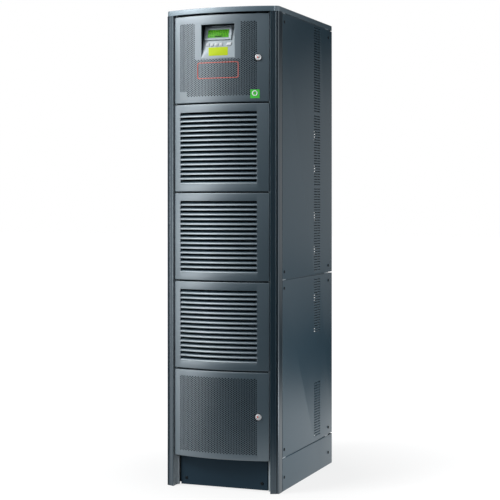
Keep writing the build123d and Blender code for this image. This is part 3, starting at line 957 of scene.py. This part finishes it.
# Keys: four small ones and a slanted wide one
key_level = 49.4
key_rise = 11.5
key_width = 11
key_first = -42.5
key_pitch = 16.2
wide_key_u = 36
wide_key_width = 18
key_shape = {"corner": 0.9, "stand": 2.0, "edge": 0.6}
key_lean_share = 0.32
mesh = bmesh.new()
for index in range(4):
    raised(mesh, on_display, (key_first + index * key_pitch, key_level), (key_width, key_rise), **key_shape)
wide_place = leaning(key_level, key_lean_share)
raised(mesh, wide_place, (wide_key_u, key_level), (wide_key_width, key_rise), **key_shape)
publish("display_keys_moulded", mesh, "control_door", "key_plastic", ["display_keys"])

# Labels without words, on the display panel and on the door
label_u = -1.4
label_v = 24
label_size = (71, 31)
label_lean_share = -0.12
mesh = bmesh.new()
label_place = leaning(label_v, label_lean_share)
raised(mesh, label_place, (label_u, label_v), label_size, corner=0.8, stand=0.5, edge=0.2)
publish("display_label", mesh, "control_door", "display_plastic", look="label_green")


patch_step = 3 * MM
weld_distance = 0.01 * MM


def on_door(x, y, height):
    return on_bow(x, y, -height)


def bow_band(name, outer, inner, stand, look):
    """A flat band between two outlines, standing a little proud of the bow."""
    mesh = bmesh.new()
    stack(mesh, [(outer, 0.0), (outer, stand), (inner, stand), (inner, 0.0)], on_door, closed=False)
    publish(name, mesh, "control_door", "door_paint", look=look)


def frame_outlines(u, v, width, height, radius, line):
    """Outer and inner outlines of a frame, with points all along its sides, so that it can follow the bow."""
    outline = rounded_rectangle(u, v, width, height, radius)
    outer = []
    for here, after in zip(outline, outline[1:] + outline[:1]):
        count = max(1, round(math.dist(here, after) / line_step))
        outer += [tuple(Vector(here).lerp(Vector(after), index / count)) for index in range(count)]
    share_u = 1 - 2 * line / width
    share_v = 1 - 2 * line / height
    return outer, [(u + (x - u) * share_u, v + (y - v) * share_v) for x, y in outer]


def bow_patch(name, area, stand, look):
    """A thin flat label that follows the bow."""
    left, bottom, right, top = area
    lines = spaced(left, right, patch_step)
    mesh = bmesh.new()
    outline = [(u, bottom) for u in lines] + [(u, top) for u in reversed(lines)]
    stack(mesh, [(outline, 0.0), (outline, stand)], on_door, closed=False)
    for low, high in zip(lines, lines[1:]):
        corners = [(low, bottom), (high, bottom), (high, top), (low, top)]
        mesh.faces.new([mesh.verts.new(on_door(u, v, stand)) for u, v in corners])
    bmesh.ops.remove_doubles(mesh, verts=mesh.verts, dist=weld_distance)
    publish(name, mesh, "control_door", "door_paint", look=look)


frame_outer, frame_inner = frame_outlines(
    arc_length(-4.5 * MM), 1436 * MM, width=153 * MM, height=56 * MM, radius=6 * MM, line=2.8 * MM
)
bow_band("door_frame_band", frame_outer, frame_inner, stand=0.2 * MM, look="red_paint")
bow_patch("door_badge", badge, stand=0.6 * MM, look="badge_grey")
bow_patch("door_sticker", sticker, stand=0.4 * MM, look="sticker_green")
ring_u = (sticker[0] + sticker[2]) / 2
ring_v = (sticker[1] + sticker[3]) / 2 + 2 * MM
ring_outer, ring_inner = [circle(ring_u, ring_v, radius, 24) for radius in (9.5 * MM, 6.0 * MM)]
bow_band("door_sticker_ring", ring_outer, ring_inner, stand=0.7 * MM, look="white_print")

# Door locks, in millimetres: profiles of radius and height, then pads of centre, size and rounding
lock_angle = math.asin(lock_x / panel_bow_radius)
lock_normal = (math.sin(lock_angle), -math.cos(lock_angle), 0)
lock_ring = [(10.6, 0.0), (10.6, 2.4), (10.1, 3.1), (9.2, 3.4), (8.2, 3.3), (7.9, 2.9), (7.7, 2.0)]
lock_turned = (
    # A thin black disc set off to the left behind the lock: painted shadow along its left side.
    ("well", "screw_black", 40, [(13.2, 0.0), (13.2, 0.25), (12.8, 0.35)]),
    ("ring", "lock_metal", 40, lock_ring),
    ("face", "white_print", 32, [(7.6, 1.0), (7.6, 2.5), (7.2, 2.8)]),
)
lock_pads = (
    ("mark", "lock_red", (-2.0, 0.8), (4.2, 6.4), 1.2, 3.3, 0.3),
    # The keyway is a raised black pad: painted shade for the key slot.
    ("keyway", "screw_black", (2.6, 0.0), (1.6, 6.0), 0.5, 3.0, 0.1),
)
well_shift = -2.2
pad_foot = 1.5
doors = (("control_door", control_bottom), ("lower_door", lower_bottom))


def door_lock(door, bottom):
    place = facing(on_bow(arc_length(lock_x), bottom + lock_rise, 0.0), lock_normal)
    well = facing(place(well_shift * MM, 0.0, 0.0), lock_normal)
    for name, look, segments, profile in lock_turned:
        mesh = bmesh.new()
        lathe(mesh, profile, well if name == "well" else place, segments)
        publish(f"{door}_lock_{name}", mesh, door, "lock_metal", look=look)
    for name, look, *shape in lock_pads:
        mesh = bmesh.new()
        raised(mesh, place, *shape, foot=pad_foot)
        publish(f"{door}_lock_{name}", mesh, door, "lock_metal", look=look)


for door, bottom in doors:
    door_lock(door, bottom)

# Hinge bosses: a block at the foot and the head of each door, with a blind hole for its hinge pin
pin_x = -165 * MM
pin_y = bow_y(panel_bow_radius, pin_x) + 4.3 * MM
pin_hole_radius = 2.1 * MM
pin_hole_depth = 12 * MM
boss_height = 16 * MM
boss_reach = 16 * MM
boss_left = -173 * MM
boss_right = -158 * MM
boss_points = 48


def boss_outline():
    """Plan of a boss round its hinge pin, one point for each direction."""
    points = []
    for x, y in circle(pin_x, pin_y, boss_reach, boss_points):
        x = min(max(x, boss_left), boss_right)
        face_y = on_bow(arc_length(x), 0, cover_sheet / 2).y
        points.append((x, min(max(y, face_y), door_back_y)))
    return points


def hinge_bosses(door, bottom):
    mesh = bmesh.new()
    outline = boss_outline()
    hole = circle(pin_x, pin_y, pin_hole_radius, boss_points)
    for end, inward in ((bottom + edge_radius, 1), (bottom + panel_height - edge_radius, -1)):
        rings = [(hole, end + inward * pin_hole_depth), (hole, end), (outline, end)]
        stack(mesh, rings + [(outline, end + inward * boss_height)], upright)
    face_outward(mesh)
    publish(f"{door}_hinge_bosses", mesh, door, "door_paint")


for door, bottom in doors:
    hinge_bosses(door, bottom)

# Wire guards over the round holes of the rear fan panels: places and ring radii in millimetres
fan_columns = (-110, 0, 110)
fan_rise = 64
fan_hole_radius = 46 * MM
guard_wire = 0.9 * MM
guard_rings = (12, 23, 34, 45)
guard_points = 36
guard_spokes = 4
guard_turn_share = 0.125
guard_reach = fan_hole_radius + 4 * MM
guard_lift = Vector((0, 1.6 * guard_wire, 0))


def tube(mesh, points, radius, closed=False):
    """A round wire through points in a plane of constant depth Y."""
    rows = []
    for index, point in enumerate(points):
        before = points[index - 1] if index or closed else point
        after = points[(index + 1) % len(points)] if index + 1 < len(points) or closed else point
        across = (after - before).normalized().cross(Vector((0, 1, 0)))
        ring = circle(0, 0, radius, 6)
        rows.append([mesh.verts.new(point + across * x + Vector((0, y, 0))) for x, y in ring])
    if closed:
        rows.append(rows[0])
    else:
        mesh.faces.new(rows[0])
        mesh.faces.new(reversed(rows[-1]))
    join(mesh, rows)


def fan_guards(tier):
    low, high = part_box(f"rear_fan_panel_{tier}")
    middle = (low.z + high.z) / 2
    mesh = bmesh.new()
    for x in fan_columns:
        for rise in (-fan_rise, fan_rise):
            centre = Vector((x * MM, high.y + guard_wire, middle + rise * MM))
            for radius in guard_rings:
                around = circle(0, 0, radius * MM, guard_points)
                tube(mesh, [centre + Vector((u, 0, v)) for u, v in around], guard_wire, closed=True)
            for spoke in range(guard_spokes):
                angle = math.pi * (spoke / guard_spokes + guard_turn_share)
                ray = Vector((math.cos(angle), 0, math.sin(angle))) * guard_reach
                tube(mesh, [centre - ray + guard_lift, centre + ray + guard_lift], guard_wire)
    face_outward(mesh)
    publish(f"rear_fan_guards_{tier}", mesh, "cabinet", "hinge_steel", look="guard_steel", smooth_angle=70)


for tier in tiers:
    fan_guards(tier)


# Stage, light and camera
def background_rays(tree):
    """1 for the rays that show the white studio: camera, glossy and transmission rays."""
    path = node(tree, "ShaderNodeLightPath").outputs
    seen = path["Is Camera Ray"]
    for other in ("Is Glossy Ray", "Is Transmission Ray"):
        either = node(tree, "ShaderNodeMath", operation_="MAXIMUM", Value=seen)
        tree.links.new(path[other], either.inputs[1])
        seen = either.outputs["Value"]
    return seen


def studio_material(name):
    """A material with nothing but its output, its node tree and the socket of its surface."""
    material = bpy.data.materials.new(name)
    material.use_nodes = True
    tree = material.node_tree
    tree.nodes.remove(tree.nodes["Principled BSDF"])
    return material, tree, tree.nodes["Material Output"].inputs["Surface"]


def studio_plane(name, corners, material):
    mesh = bpy.data.meshes.new(name)
    mesh.from_pydata(corners, [], [(0, 1, 2, 3)])
    mesh.materials.append(material)
    plane = add_object(name, mesh)
    return plane


floor_grey = (0.14, 0.14, 0.14, 1.0)
# The floor's glow is dimmed near the cabinet: painted shade round its foot.
floor_shade_fade = {"From_Min": 0.35, "From_Max": 1.1, "To_Min": 0.82}


def floor_material():
    """Matt grey under the lights; white to the eye, its glow dimmed near the cabinet as painted shade round
    its foot, over which the lamps' shadow shows.
    """
    material, tree, surface = studio_material("studio_floor")
    matt = node(tree, "ShaderNodeBsdfDiffuse", Color=floor_grey)
    distance = node(tree, "ShaderNodeVectorMath", operation_="LENGTH", Vector=coordinates(tree))
    reach = node(tree, "ShaderNodeMapRange", Value=distance.outputs["Value"], **floor_shade_fade)
    strength = node(tree, "ShaderNodeMath", operation_="MULTIPLY", Value=background_rays(tree))
    tree.links.new(reach.outputs["Result"], strength.inputs[1])
    glow = node(tree, "ShaderNodeEmission", Color=white + (1.0,), Strength=strength.outputs["Value"])
    total = node(tree, "ShaderNodeAddShader", Shader=matt.outputs["BSDF"])
    tree.links.new(glow.outputs["Emission"], total.inputs[1])
    tree.links.new(total.outputs["Shader"], surface)
    return material


floor_half = 30.0
corners = [(x * floor_half, y * floor_half, 0.0) for x, y in ((-1, -1), (1, -1), (1, 1), (-1, 1))]
studio_plane("studio_floor", corners, floor_material())

world = bpy.data.worlds.new("studio")
bpy.context.scene.world = world
world.use_nodes = True
tree = world.node_tree
ambient = tree.nodes["Background"]
ambient.inputs["Color"].default_value = (0.90, 0.96, 1.0, 1.0)
ambient.inputs["Strength"].default_value = 0.3
backdrop = node(tree, "ShaderNodeBackground", Color=white + (1.0,), Strength=1.0)
choice = node(tree, "ShaderNodeMixShader", Fac=background_rays(tree))
tree.links.new(ambient.outputs["Background"], choice.inputs[1])
tree.links.new(backdrop.outputs["Background"], choice.inputs[2])
tree.links.new(choice.outputs["Shader"], tree.nodes["World Output"].inputs["Surface"])


def softbox(name, azimuth, distance, height, size_x, size_y, power, aim=(0.0, 0.0, 0.9)):
    """An area lamp at this azimuth, measured from the front towards +X, looking at the cabinet."""
    lamp = bpy.data.lights.new(name, "AREA")
    lamp.shape = "RECTANGLE"
    lamp.size = size_x
    lamp.size_y = size_y
    lamp.energy = power
    holder = add_object(name, lamp)
    angle = math.radians(azimuth)
    holder.location = (distance * math.sin(angle), -distance * math.cos(angle), height)
    holder.rotation_euler = (Vector(aim) - holder.location).to_track_quat("-Z", "Y").to_euler()


softbox("key_softbox", -46, 3.0, 3.0, 0.7, 1.2, 60, aim=(0.0, 0.0, 1.2))
softbox("key_upper_softbox", -28, 3.0, 3.0, 0.7, 1.2, 29, aim=(0.0, 0.0, 1.2))
softbox("key_middle_softbox", -34, 3.0, 1.7, 0.7, 1.2, 7)
softbox("key_low_softbox", -40, 3.0, 0.8, 0.7, 1.0, 15)
softbox("top_softbox", -40, 1.8, 3.6, 1.6, 1.0, 33)
softbox("front_softbox", 10, 4.0, 2.6, 2.0, 1.4, 8)
softbox("side_low_softbox", 85, 1.1, 0.15, 0.9, 0.2, 4, aim=(0.2, 0.0, 0.15))
softbox("side_softbox", 100, 3.0, 1.2, 1.5, 2.0, 8)
softbox("right_strip_softbox", 40, 3.0, 1.8, 0.3, 1.6, 6)


card_height = 3.2
card_fade = {"From_Min": 0.45, "From_Max": 0.70, "To_Min": 0.82, "To_Max": 1.15}


def card(name, corners, levels):
    """A studio card that only reflections see; levels are its brightness at heights above the floor."""
    material, tree, surface = studio_material(name)
    split = node(tree, "ShaderNodeSeparateXYZ", Vector=coordinates(tree)).outputs
    height = node(tree, "ShaderNodeMapRange", Value=split["Z"], From_Max=card_height)
    ramp = node(tree, "ShaderNodeValToRGB", Fac=height.outputs["Result"])
    ramp.color_ramp.interpolation = "EASE"
    stops = ramp.color_ramp.elements
    for level, _ in levels[1:-1]:
        stops.new(level / card_height)
    for stop, (_, brightness) in zip(stops, levels):
        stop.color = (brightness, brightness, brightness, 1.0)
    across = node(tree, "ShaderNodeMapRange", Value=split["X"], **card_fade)
    glow = node(tree, "ShaderNodeEmission", Color=ramp.outputs["Color"], Strength=across.outputs["Result"])
    tree.links.new(glow.outputs["Emission"], surface)
    panel = studio_plane(name, corners, material)
    panel.visible_camera = False
    panel.visible_shadow = False
    panel.visible_diffuse = False


def upright_card(name, start, end, levels):
    """A card that stands on the line from start to end."""
    card(name, [(*start, 0.0), (*end, 0.0), (*end, card_height), (*start, card_height)], levels)


black = [(0.0, 0.0), (card_height, 0.0)]
side_levels = [(0.0, 1.0), (0.10, 0.60), (0.20, 0.05), (0.36, 0.0), (0.55, 0.26), (0.80, 0.47)]
side_levels += [(1.10, 0.50), (1.40, 0.43), (1.60, 0.21), (1.75, 0.0), (2.30, 0.45), (card_height, 0.7)]
card("front_card", [(-0.45, -0.75, 0.0), (1.6, -0.75, 0.0), (1.9, -2.2, 3.4), (-0.8, -2.2, 3.4)], black)
upright_card("side_card", (-0.1, 1.4), (1.4, 0.83), side_levels)
upright_card("rear_card", (-1.2, 1.8), (0.46, 1.22), black)

camera_data = bpy.data.cameras.new("camera")
camera = add_object("camera", camera_data)
bpy.context.scene.camera = camera
camera_data.sensor_width = 36.0
camera_data.lens = 97.845
camera_data.shift_y = -0.10234
camera_data.clip_end = 100.0
camera.location = (1.7684845, -4.591252, 0.99722)
camera.rotation_euler = (math.radians(90), 0, math.radians(21.107157))
bpy.context.scene.view_settings.view_transform = "Standard"
